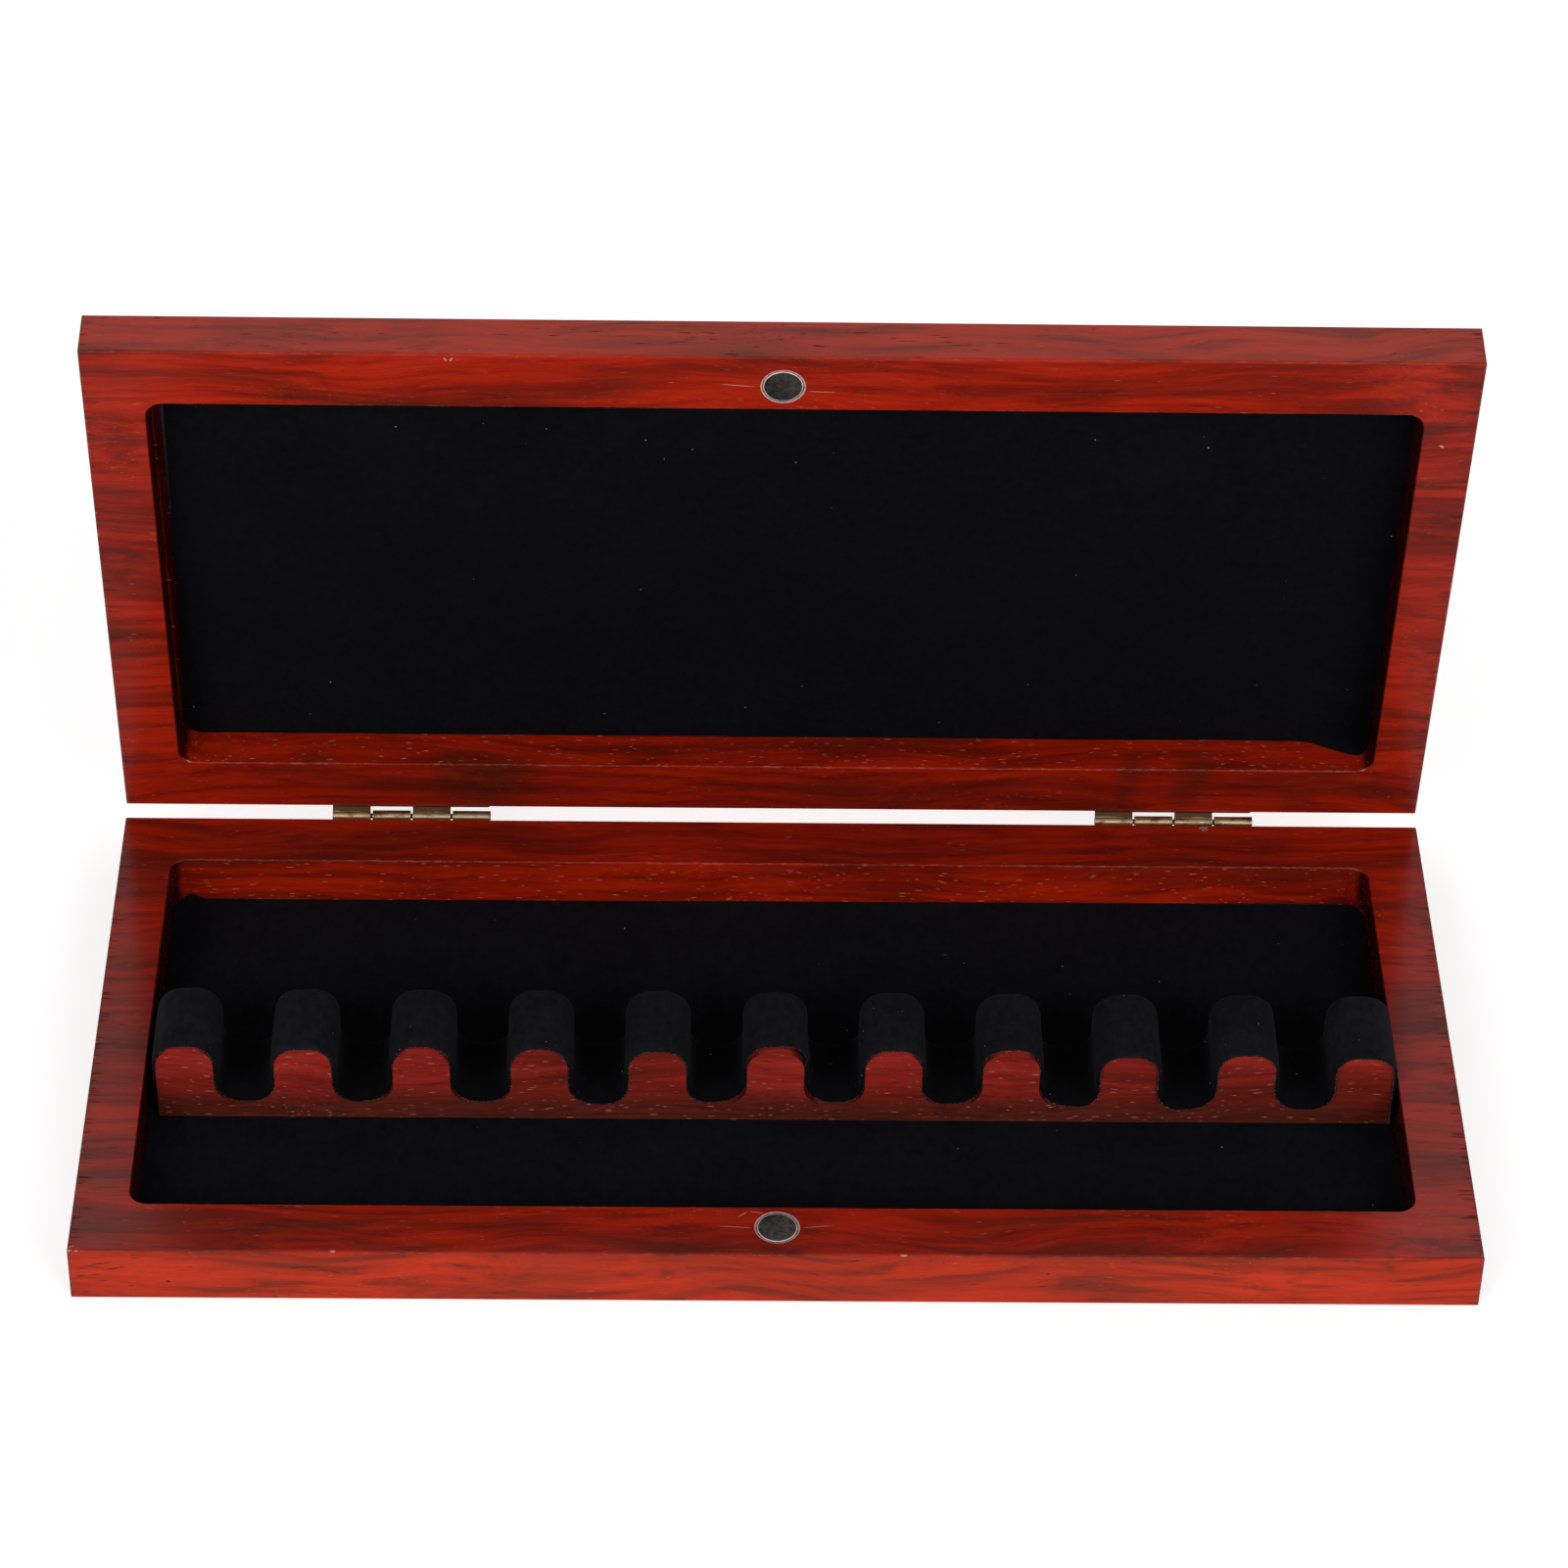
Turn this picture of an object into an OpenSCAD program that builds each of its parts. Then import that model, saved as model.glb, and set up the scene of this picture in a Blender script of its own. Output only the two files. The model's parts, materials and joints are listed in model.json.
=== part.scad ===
// Wooden fountain pen case. Two routed trays, a velvet-covered pen rack, two
// butt hinges screwed to the back, and a pair of disc magnets as the catch.
// Millimetres, +Z up. The origin is the centre of the base's underside and the
// front of the case faces -Y. The lid is drawn open by open_angle.

/* [Case] */
// Width from left to right
box_w = 380; // [370:1:400]
// Depth from front to back
box_d = 181; // [175:1:190]
// Height of the base tray
base_h = 17.8; // [17:0.1:20]
// Height of the lid tray
lid_h = 14.8; // [14:0.1:17]
// Rounding on every outer edge
edge_round = 0.8; // [0.4:0.1:1.2]
// How far the lid is open, from closed
open_angle = 82; // [0:1:180]
// Gap left between the two rims when the case is shut
rim_gap = 0.15; // [0.1:0.05:0.3]

/* [Pockets] */
// Mean thickness of the left and right walls
end_wall = 15.8; // [14:0.1:18]
// Mean thickness of the front and back walls
side_wall = 18.85; // [17:0.05:20]
// Wood left under the base pocket
base_floor = 2.1; // [1.8:0.1:3]
// Wood left under the lid pocket
lid_floor = 1.8; // [1.6:0.1:2.6]
// Corner radius of both pockets
pocket_round = 5; // [3:0.5:7]
// Chamfer round the mouth of both pockets
mouth_chamfer = 0.3; // [0.1:0.1:0.6]
// How far the base pocket sits right of centre
base_pocket_x = -0.8; // [-1:0.1:1]
// How far the base pocket sits behind centre
base_pocket_y = -0.45; // [-1:0.05:1]
// How far the lid pocket sits right of centre
lid_pocket_x = 1; // [-1:0.1:1]
// How far the lid pocket sits behind centre
lid_pocket_y = 0.35; // [-1:0.05:1]

/* [Linings] */
// Thickness of the card under the velvet
card_t = 0.5; // [0.3:0.1:0.8]
// Thickness of the velvet on the pocket floors
velvet_t = 0.7; // [0.5:0.1:1]
// Gap between a lining and the pocket walls
lining_gap = 0.3; // [0.1:0.1:0.6]
// How much further the lid lining stops short of the left wall
lid_lining_short = 2.2; // [0:0.1:3]

/* [Pen rack] */
// Number of pens held
pen_count = 10; // [6:1:10]
// Width of one post
post_w = 15.8; // [14:0.1:17]
// Rounding on top of a post
post_round = 6.3; // [4:0.1:6.8]
// Rounding at the bottom of a groove
groove_round = 7.2; // [5:0.1:7.4]
// Wood left under a groove
groove_floor = 5.2; // [4:0.1:6]
// Height of the rack
rack_h = 25; // [23:0.1:25]
// Thickness of the rack from front to back
rack_d = 24.5; // [18:0.5:26]
// Distance from the front of the case to the rack
rack_inset = 68.4; // [60:0.1:75]
// How far the rack sits right of centre
rack_x = 0; // [-0.1:0.1:0.1]
// Thickness of the velvet strip on the rack
cover_t = 1.2; // [0.8:0.1:1.2]
// Mean gap between the covered rack and the end walls
rack_end_gap = 1.3; // [1.3:0.1:3]

/* [Hinges] */
// Length of one hinge
hinge_len = 46.4; // [40:0.1:50]
// Gap between neighbouring knuckles
knuckle_gap = 0.67; // [0.4:0.01:1]
// Outer radius of the barrel
barrel_r = 1.7; // [1.5:0.1:1.8]
// Radius of the hinge pin
pin_r = 0.75; // [0.6:0.05:0.9]
// Radial clearance of the pin in the lid's knuckles
pin_clearance = 0.05; // [0.02:0.01:0.1]
// Thickness of the brass leaves
leaf_t = 0.9; // [0.7:0.1:0.9]
// Height of a leaf's flat plate
leaf_h = 9.5; // [7:0.5:10]
// Distance of the pin axis behind the back of the case
axis_back = 2.6; // [2.6:0.1:3]
// Distance of the pin axis below the base's rim
axis_drop = 1.2; // [0.9:0.1:1.3]
// Distance from the left end to the middle of the left hinge
left_hinge_inset = 83.8; // [60:0.1:120]
// Distance from the right end to the middle of the right hinge
right_hinge_inset = 71.6; // [60:0.1:120]
// Screws in each leaf
screw_count = 3; // [2:1:4]
// Shank radius of a screw
screw_r = 0.9; // [0.7:0.05:1]
// Head radius of a screw
screw_head_r = 1.8; // [1.5:0.1:2]
// Length of a screw below its head
screw_len = 9; // [6:0.5:12]

/* [Magnets] */
// Radius of a magnet
magnet_r = 5.8; // [4:0.1:6]
// Thickness of a magnet
magnet_t = 3; // [2:0.5:4]
// Chamfer round a magnet's faces
magnet_chamfer = 0.5; // [0.2:0.1:0.6]
// Distance from the front of the case to a magnet's centre
magnet_inset = 10.7; // [9:0.1:12]
// Width of the ring of glue round a magnet
glue_ring = 0.4; // [0.2:0.1:0.6]
// How far a magnet's face sits below the rim
magnet_recess = 0.1; // [0.05:0.05:0.3]

/* [Hidden] */
$fn = 64;
overcut = 0.5;
pocket_w = box_w - 2 * end_wall;
pocket_d = box_d - 2 * side_wall;
base_lining_z = base_floor + card_t;
rack_z = base_lining_z + velvet_t;
rack_y = -box_d / 2 + rack_inset + rack_d / 2;
pen_pitch = (pocket_w - 2 * rack_end_gap - 2 * cover_t - post_w) / pen_count;
groove_w = pen_pitch - post_w;
rack_w = pen_count * pen_pitch + post_w;
axis_y = box_d / 2 + axis_back;
base_axis_z = base_h - axis_drop;
lid_axis_z = lid_h + rim_gap + axis_drop;
left_hinge_x = -box_w / 2 + left_hinge_inset;
right_hinge_x = box_w / 2 - right_hinge_inset;
knuckle_count = 4;
knuckle_len = (hinge_len - (knuckle_count - 1) * knuckle_gap) / knuckle_count;
neck_h = barrel_r + 0.5;
leaf_corner = 1;
screw_drop = neck_h + leaf_h / 2;
screw_pitch = hinge_len / screw_count;
screw_tip = 2;
slot_w = 0.4;
slot_depth = 0.25;
glue_bed = 0.2;
socket_depth = magnet_recess + magnet_t + glue_bed;
glue_sink = 0.2;
rosewood = [0.47, 0.13, 0.09];
velvet_black = [0.05, 0.05, 0.07];
brass = [0.66, 0.55, 0.33];
steel = [0.35, 0.33, 0.3];

// ---- Shared shapes ----------------------------------------------------------

// Rectangle centred on the origin with rounded corners.
module rounded_rect(w, d, r) {
    square([w - 2 * r, d], center = true);
    square([w, d - 2 * r], center = true);
    for (x = [-1, 1], y = [-1, 1])
        translate([x * (w / 2 - r), y * (d / 2 - r)])
            circle(r);
}

// Block standing on the origin with every edge rounded.
module eased_block(w, d, h, r) {
    intersection() {
        linear_extrude(h)
            rounded_rect(w, d, r);
        translate([0, d / 2, h / 2])
            rotate([90, 0, 0])
                linear_extrude(d)
                    rounded_rect(w, h, r);
        translate([-w / 2, 0, h / 2])
            rotate([90, 0, 90])
                linear_extrude(w)
                    rounded_rect(d, h, r);
    }
}

// Cross-section of the chamfered mouth of a pocket, span wide at its bottom.
module mouth_section(span) {
    flare = mouth_chamfer + overcut;
    polygon([
        [-span / 2, 0],
        [span / 2, 0],
        [span / 2 + flare, flare],
        [-span / 2 - flare, flare],
    ]);
}

// Pocket cut downwards from z = 0, with a chamfer round its mouth.
module pocket(depth) {
    straight_w = pocket_w - 2 * pocket_round;
    straight_d = pocket_d - 2 * pocket_round;
    translate([0, 0, -depth])
        linear_extrude(depth + overcut)
            rounded_rect(pocket_w, pocket_d, pocket_round);
    translate([0, 0, -mouth_chamfer]) {
        translate([-straight_w / 2, 0, 0])
            rotate([90, 0, 90])
                linear_extrude(straight_w)
                    mouth_section(pocket_d);
        translate([0, straight_d / 2, 0])
            rotate([90, 0, 0])
                linear_extrude(straight_d)
                    mouth_section(pocket_w);
        for (x = [-1, 1], y = [-1, 1])
            translate([x * straight_w / 2, y * straight_d / 2, 0])
                cylinder(
                    h = mouth_chamfer + overcut,
                    r1 = pocket_round,
                    r2 = pocket_round + mouth_chamfer + overcut
                );
    }
}

// One half of the case with its rim up, standing on its outer face.
module tray(h, floor_t, pocket_x, pocket_y, axis_z) {
    color(rosewood)
        difference() {
            eased_block(box_w, box_d, h, edge_round);
            translate([pocket_x, pocket_y, h])
                pocket(h - floor_t);
            at_magnet(h)
                translate([0, 0, -socket_depth])
                    cylinder(h = socket_depth + overcut, r = magnet_r + glue_ring);
            for (x = [left_hinge_x, right_hinge_x])
                translate([x, axis_y, axis_z])
                    at_screws()
                        screw_body();
        }
}

// Card or velvet lining of a pocket floor, stopping short of the left wall.
module lining(thickness, left_short) {
    w = pocket_w - 2 * lining_gap - left_short;
    d = pocket_d - 2 * lining_gap;
    translate([left_short / 2, 0, 0])
        linear_extrude(thickness)
            rounded_rect(w, d, pocket_round - lining_gap);
}

// ---- Placing ----------------------------------------------------------------

// Turns what is drawn as a tray with its rim up into the open lid.
module as_lid() {
    translate([0, axis_y, base_axis_z])
        rotate([-open_angle, 0, 0])
            translate([0, -axis_y, lid_axis_z])
                mirror([0, 0, 1])
                    children();
}

// Centre of the magnet socket in a rim at height h.
module at_magnet(h) {
    translate([0, -box_d / 2 + magnet_inset, h])
        children();
}

module at_base_hinge(x) {
    translate([x, axis_y, base_axis_z])
        children();
}

module at_lid_hinge(x) {
    as_lid()
        translate([x, axis_y, lid_axis_z])
            children();
}

// ---- Pen rack ---------------------------------------------------------------

// Round-topped post standing on the x axis, grown outwards by grow.
module post_outline(grow) {
    w = post_w + 2 * grow;
    r = post_round + grow;
    h = rack_h + grow;
    translate([-w / 2, 0])
        square([w, h - r]);
    translate([-w / 2 + r, h - r])
        square([w - 2 * r, r]);
    for (x = [-1, 1])
        translate([x * (w / 2 - r), h - r])
            circle(r);
}

// Round-bottomed groove, open at the top, shrunk inwards by grow.
module groove_outline(grow) {
    w = groove_w - 2 * grow;
    r = groove_round - grow;
    floor_y = groove_floor + grow;
    translate([-w / 2, floor_y + r])
        square([w, rack_h]);
    translate([-w / 2 + r, floor_y])
        square([w - 2 * r, r + overcut]);
    for (x = [-1, 1])
        translate([x * (w / 2 - r), floor_y + r])
            circle(r);
}

// Front view of the rack, or of the rack and its cover when grow is cover_t.
module rack_outline(grow) {
    first_x = -pen_count * pen_pitch / 2;
    difference() {
        translate([first_x, 0])
            square([pen_count * pen_pitch, groove_floor + groove_round]);
        for (i = [0 : pen_count - 1])
            translate([first_x + (i + 0.5) * pen_pitch, 0])
                groove_outline(grow);
    }
    for (i = [0 : pen_count])
        translate([first_x + i * pen_pitch, 0])
            post_outline(grow);
}

// Extrudes a front view along the depth of the rack, standing on the lining.
module in_rack() {
    translate([rack_x, rack_y + rack_d / 2, rack_z])
        rotate([90, 0, 0])
            linear_extrude(rack_d)
                children();
}

module pen_rack() {
    color(rosewood)
        in_rack()
            rack_outline(0);
}

module rack_velvet() {
    color(velvet_black)
        in_rack()
            difference() {
                rack_outline(cover_t);
                rack_outline(0);
            }
}

// ---- Magnets ----------------------------------------------------------------

// Glue cup that fills the socket round and under a magnet.
module glue_cup() {
    color([0.72, 0.5, 0.42])
        difference() {
            translate([0, 0, -socket_depth])
                cylinder(h = socket_depth - glue_sink, r = magnet_r + glue_ring);
            magnet_body();
        }
}

module magnet_body() {
    straight_h = magnet_t - 2 * magnet_chamfer;
    face_r = magnet_r - magnet_chamfer;
    translate([0, 0, -magnet_recess - magnet_t]) {
        cylinder(h = magnet_chamfer, r1 = face_r, r2 = magnet_r);
        translate([0, 0, magnet_chamfer])
            cylinder(h = straight_h, r = magnet_r);
        translate([0, 0, magnet_chamfer + straight_h])
            cylinder(h = magnet_chamfer, r1 = magnet_r, r2 = face_r);
    }
}

module magnet() {
    color([0.55, 0.55, 0.57])
        magnet_body();
}

// ---- Hinges -----------------------------------------------------------------

// The four pieces of a hinge are drawn with the pin axis on the x axis and the
// leaf hanging from it towards -Z, against a wall whose face is at -axis_back.

// Section of the neck that joins a knuckle to the top of its plate.
module neck_section() {
    polygon([
        [-axis_back, -neck_h],
        [-barrel_r, 0],
        [0, 0],
        [-axis_back + leaf_t + 0.6, -barrel_r + 0.3],
        [-axis_back + leaf_t, -neck_h],
    ]);
}

module knuckle(bore_r) {
    rotate([90, 0, 90])
        linear_extrude(knuckle_len)
            difference() {
                union() {
                    circle(barrel_r);
                    neck_section();
                }
                circle(bore_r);
            }
}

// Flat plate of a leaf, with a countersunk hole for each screw.
module leaf_plate() {
    difference() {
        translate([0, -axis_back + leaf_t, -screw_drop])
            rotate([90, 0, 0])
                linear_extrude(leaf_t)
                    rounded_rect(hinge_len, leaf_h, leaf_corner);
        at_screws()
            screw_body();
    }
}

// Leaf with every second knuckle, counted from first.
module hinge_leaf(first, bore_r) {
    color(brass) {
        leaf_plate();
        for (i = [first : 2 : knuckle_count - 1])
            translate([-hinge_len / 2 + i * (knuckle_len + knuckle_gap), 0, 0])
                knuckle(bore_r);
    }
}

module hinge_pin() {
    color(steel)
        translate([-hinge_len / 2, 0, 0])
            rotate([0, 90, 0])
                cylinder(h = hinge_len, r = pin_r);
}

// Places children at each screw's head, with +Z pointing into the wood.
module at_screws() {
    for (i = [0 : screw_count - 1])
        translate([(i - (screw_count - 1) / 2) * screw_pitch, -axis_back + leaf_t, -screw_drop])
            rotate([90, 0, 0])
                children();
}

module screw_body() {
    cylinder(h = leaf_t, r1 = screw_head_r, r2 = screw_r);
    translate([0, 0, leaf_t])
        cylinder(h = screw_len - screw_tip, r = screw_r);
    translate([0, 0, leaf_t + screw_len - screw_tip])
        cylinder(h = screw_tip, r1 = screw_r, r2 = 0);
}

module hinge_screws() {
    color(brass)
        at_screws()
            difference() {
                screw_body();
                cube([2 * screw_head_r + overcut, slot_w, 2 * slot_depth], center = true);
            }
}

// ---- Nodes ------------------------------------------------------------------

module base_tray() {
    tray(base_h, base_floor, base_pocket_x, base_pocket_y, base_axis_z);
}

module base_lining_card() {
    color([0.3, 0.28, 0.26])
        translate([base_pocket_x, base_pocket_y, base_floor])
            lining(card_t, 0);
}

module base_lining_velvet() {
    color(velvet_black)
        translate([base_pocket_x, base_pocket_y, base_lining_z])
            lining(velvet_t, 0);
}

module base_magnet_glue() {
    at_magnet(base_h)
        glue_cup();
}

module base_magnet() {
    at_magnet(base_h)
        magnet();
}

module left_hinge_base_leaf() {
    at_base_hinge(left_hinge_x)
        hinge_leaf(1, pin_r);
}

module left_hinge_base_screws() {
    at_base_hinge(left_hinge_x)
        hinge_screws();
}

module left_hinge_pin() {
    at_base_hinge(left_hinge_x)
        hinge_pin();
}

module right_hinge_base_leaf() {
    at_base_hinge(right_hinge_x)
        hinge_leaf(1, pin_r);
}

module right_hinge_base_screws() {
    at_base_hinge(right_hinge_x)
        hinge_screws();
}

module right_hinge_pin() {
    at_base_hinge(right_hinge_x)
        hinge_pin();
}

module lid_tray() {
    as_lid()
        tray(lid_h, lid_floor, lid_pocket_x, lid_pocket_y, lid_axis_z);
}

module lid_lining_card() {
    color([0.3, 0.28, 0.26])
        as_lid()
            translate([lid_pocket_x, lid_pocket_y, lid_floor])
                lining(card_t, lid_lining_short);
}

module lid_lining_velvet() {
    color(velvet_black)
        as_lid()
            translate([lid_pocket_x, lid_pocket_y, lid_floor + card_t])
                lining(velvet_t, lid_lining_short);
}

module lid_magnet_glue() {
    as_lid()
        at_magnet(lid_h)
            glue_cup();
}

module lid_magnet() {
    as_lid()
        at_magnet(lid_h)
            magnet();
}

module left_hinge_lid_leaf() {
    at_lid_hinge(left_hinge_x)
        hinge_leaf(0, pin_r + pin_clearance);
}

module left_hinge_lid_screws() {
    at_lid_hinge(left_hinge_x)
        hinge_screws();
}

module right_hinge_lid_leaf() {
    at_lid_hinge(right_hinge_x)
        hinge_leaf(0, pin_r + pin_clearance);
}

module right_hinge_lid_screws() {
    at_lid_hinge(right_hinge_x)
        hinge_screws();
}

base_tray();
base_lining_card();
base_lining_velvet();
pen_rack();
rack_velvet();
base_magnet_glue();
base_magnet();
left_hinge_base_leaf();
left_hinge_base_screws();
left_hinge_pin();
right_hinge_base_leaf();
right_hinge_base_screws();
right_hinge_pin();
lid_tray();
lid_lining_card();
lid_lining_velvet();
lid_magnet_glue();
lid_magnet();
left_hinge_lid_leaf();
left_hinge_lid_screws();
right_hinge_lid_leaf();
right_hinge_lid_screws();
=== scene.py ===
"""Looks of the fountain pen case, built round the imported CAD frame.

Metres, in the row frame: +X along the case, +Y from the front edge to the hinges, +Z up.
"""

import json
import math

import bmesh
import bpy
from mathutils import Matrix, Vector, noise

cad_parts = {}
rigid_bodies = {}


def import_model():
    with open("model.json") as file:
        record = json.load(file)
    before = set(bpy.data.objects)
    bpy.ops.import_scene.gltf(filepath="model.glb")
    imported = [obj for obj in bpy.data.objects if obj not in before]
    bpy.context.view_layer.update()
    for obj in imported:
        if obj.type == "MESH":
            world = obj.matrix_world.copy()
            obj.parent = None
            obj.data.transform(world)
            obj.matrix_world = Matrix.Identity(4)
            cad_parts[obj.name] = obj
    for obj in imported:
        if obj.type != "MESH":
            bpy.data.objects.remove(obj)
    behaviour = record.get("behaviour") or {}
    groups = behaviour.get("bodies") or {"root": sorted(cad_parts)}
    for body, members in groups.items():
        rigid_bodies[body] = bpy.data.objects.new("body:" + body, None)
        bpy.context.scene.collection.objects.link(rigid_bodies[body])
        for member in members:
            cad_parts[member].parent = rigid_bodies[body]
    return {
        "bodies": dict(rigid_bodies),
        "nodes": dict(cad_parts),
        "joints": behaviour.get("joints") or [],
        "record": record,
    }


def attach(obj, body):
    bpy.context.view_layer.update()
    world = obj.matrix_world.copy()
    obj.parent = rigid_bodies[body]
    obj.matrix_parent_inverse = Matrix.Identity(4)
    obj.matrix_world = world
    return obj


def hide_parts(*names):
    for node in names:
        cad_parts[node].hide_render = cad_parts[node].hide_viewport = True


MM = 0.001

# The rack's own shape, as in the CAD part.
PEN_COUNT = 10
POST_WIDTH = 15.8 * MM
POST_ROUND = 6.3 * MM
GROOVE_ROUND = 7.2 * MM
GROOVE_FLOOR = 5.2 * MM

# The trays' own shape, as in the CAD part. The lid's lining stops further short at its left.
POCKET_ROUND = 5.0 * MM
MOUTH_CHAMFER = 0.3 * MM
LINING_GAP = 0.3 * MM
LID_LEFT_GAP = 2.5 * MM
LINING_ROUND = POCKET_ROUND - LINING_GAP

# Cloth: a woven backing that carries the pile. The steps are the spacing of its points.
BACKING_SHARE = 0.22
PILE_STEP = 0.9 * MM
LINING_STEP = 2.4 * MM
DEPTH_STEP = 1.2 * MM
# The most that cut edges fray and that the pile's height varies.
FRAY = 0.25 * MM
LINING_SWELL = 0.06 * MM
STRIP_SWELL = 0.05 * MM
# The most that the rack's strip curls up and wanders at its edges, and the glue under it.
STRIP_CURL = 0.14 * MM
STRIP_SWAY = 0.35 * MM
STRIP_GLUE = 0.05 * MM
# How much further right the lid lining's left edge starts at the front than at the back.
LID_TAPER = 2.4 * MM

# How far the rack's cloth strip is set back from the rack's front edge, at each post.
STRIP_SETBACK = [n * MM for n in (0.8, 0.1, 1.4, 0.6, 0.0, 2.6, 1.0, 1.7, -0.9, 0.1, -0.8)]
# Where the strip lifts off a post: the side of it (-1 left, 1 right), and how far.
STRIP_LIFTS = {0: (-0.1, 0.06 * MM), 2: (-0.2, 0.06 * MM), 5: (0.78, 0.85 * MM)}

# Wood colours are (bright, deep, smoky).
TRAY_TONES = ((0.40, 0.0150, 0.0022), (0.24, 0.0070, 0.0012), (0.080, 0.0130, 0.0060))
RACK_TONES = ((0.42, 0.0320, 0.0220), (0.29, 0.0180, 0.0110), (0.090, 0.0200, 0.0120))
# Lighter, more orange tone of the long outer sides: painted light.
LIT_SIDE_TONE = (0.60, 0.060, 0.007)
PORE_DUST = (0.70, 0.22, 0.15)
# Pale colour of scuffs and chips, and of the painted highlight along the outer edges.
SCUFF_AND_HIGHLIGHT = (0.74, 0.36, 0.26)
# How much of a full varnish's mirror shine the thin finish has, where 0.5 is all of it.
WOOD_GLOSS = 0.38

# Metal colours are (bright, tarnished).
HINGE_BRASS = ((0.82, 0.66, 0.38), (0.34, 0.23, 0.11))
SCREW_BRASS = ((0.84, 0.68, 0.40), (0.40, 0.28, 0.14))
# Painted reflection of the wood, on the flats of the hinge leaves.
LEAF_WOOD_REFLECTION = (0.20, 0.085, 0.040)

# Pile colours: the two linings are one velvet. The lid's lining lies in the light, so its pile is painted
# darker as painted shade, and the base's pile is painted lighter as painted light.
BASE_PILE_LIT = (0.0040, 0.0040, 0.0058)
LID_PILE_SHADED = (0.0023, 0.0023, 0.0033)
RACK_PILE = (0.0092, 0.0092, 0.0124)
LINT = (0.50, 0.50, 0.53)

# Marks in the wood, in millimetres on the rim of the closed case. A smoky patch is
# (x, y, half length, half width, lean in degrees, strength).
BASE_SMOKE = [
    (-128, -79, 26, 3.0, 8, 0.9),
    (-30, -89, 30, 2.4, 0, 0.8),
    (80, -76, 36, 2.2, 3, 0.6),
    (-181, 57, 15, 9, 0, 0.55),
    (-181, 31, 15, 4, 0, 0.45),
    (-181, -4, 15, 8, 0, 0.60),
    (-180, -63, 15, 5, 0, 0.50),
    (184, 5, 16, 14, 0, 0.60),
    (183, -41, 15, 3, 0, 0.40),
    (-105, 81, 58, 4.5, 2, 0.50),
    (-165, 84, 16, 4.0, -8, 0.50),
    (30, 78, 60, 2.6, 3, 0.45),
]
LID_SMOKE = [
    (-158, -80, 36, 1.6, 3, 0.60),
    (-180, -56, 14, 3, 0, 0.50),
    (-182, -38, 12, 4, 12, 0.55),
    (-181, -19, 14, 3, 0, 0.45),
    (-180, 25, 15, 3, 0, 0.45),
    (184, -48, 14, 4, -14, 0.45),
    (185, -30, 14, 5, -12, 0.50),
    (-86, 82, 17, 13, -18, 0.80),
    (-138, 78, 16, 2.2, -14, 0.45),
    (104, 81, 4.5, 11, 20, 0.70),
    (123, 81, 6.0, 11, 20, 0.70),
    (155, 82, 6.0, 9, 0, 0.45),
]
# A dark ring where a branch grew is (x, y, radius, half width, strength).
BASE_KNOTS = [(172.5, -91, 8.5, 0.9, 0.75), (180, -96, 41.5, 1.5, 0.55)]
LID_KNOTS = [(-183, 73, 5.0, 0.9, 0.55), (185, 31, 3.5, 0.8, 0.50), (-192, -40, 17, 1.2, 0.40)]
# A pale scratch or chip is (x, y, half length, half width, lean in degrees).
BASE_SCRATCHES = [
    (-11.3, -79.8, 5.4, 0.13, -4),
    (11.0, -79.5, 5.0, 0.12, 6),
    (-9.2, -74.9, 1.9, 0.18, 40),
    (-5.6, -74.1, 2.4, 0.14, -8),
    (-119.0, -90.0, 0.9, 0.40, 0),
    (33.9, -90.2, 1.2, 0.30, 0),
    (-189.4, -90.2, 0.8, 0.30, 0),
    (-188.9, -88.9, 1.0, 0.22, 20),
    (-187.4, -90.3, 0.7, 0.18, 0),
]
LID_SCRATCHES = [
    (-12.3, -80.2, 5.4, 0.14, 5),
    (10.5, -78.1, 4.6, 0.12, 3),
    (-91.2, -88.8, 0.9, 0.30, 60),
    (-89.6, -88.8, 0.9, 0.30, -60),
    (181.0, -59.7, 0.9, 0.45, 30),
]
# A dark split in the closed case's front side is (x, z, half length, half width, lean in degrees).
BASE_SPLITS = [
    (-180.3, 13.3, 6.3, 0.30, 11),
    (-177.4, 11.4, 3.8, 0.28, 15),
    (-184.8, 8.8, 4.2, 0.22, 7),
    (-186.6, 11.2, 2.2, 0.20, 9),
    (-127.0, 12.2, 5.2, 0.24, 5),
    (-119.5, 10.6, 3.6, 0.22, -8),
    (-163.5, 6.6, 0.9, 0.50, 0),
    (-173.5, 4.9, 0.7, 0.40, 0),
]
LID_SPLITS = [
    (-62.0, 26.0, 1.8, 0.22, 3),
    (-20.5, 27.6, 2.4, 0.20, -3),
    (44.0, 24.8, 2.0, 0.22, 2),
]
# How deep a smoky patch and a scratch or split go into the wood.
SMOKE_DEPTH = 7.0 * MM
STREAK_DEPTH = 0.8 * MM

# Camera, as a viewer in front of the case sees it.
CAMERA_AIM = Vector((1.0, 0.0, 106.7)) * MM
CAMERA_DISTANCE = 1.4162
CAMERA_ELEVATION = math.radians(39.48)
CAMERA_AZIMUTH = math.radians(-1.36)
CAMERA_ROLL = math.radians(1.31)
CAMERA_LENS = 120.3


# ---- Frame ------------------------------------------------------------------


def closed_from_rest(joint):
    """Matrix that carries a point on the lid at rest to where it is when the lid is shut."""
    pivot = Matrix.Translation(Vector(joint["pos_m"]))
    angle = math.radians(joint["range_deg"][0])
    return pivot @ Matrix.Rotation(angle, 4, Vector(joint["axis"])) @ pivot.inverted()


def node_box(node, matrix=Matrix.Identity(4)):
    """Lowest and highest corner of a CAD node once its points are carried through matrix."""
    points = [matrix @ v.co for v in node.data.vertices]
    low = Vector([min(p[i] for p in points) for i in range(3)])
    high = Vector([max(p[i] for p in points) for i in range(3)])
    return low, high


# ---- Shader arithmetic ------------------------------------------------------


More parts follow.
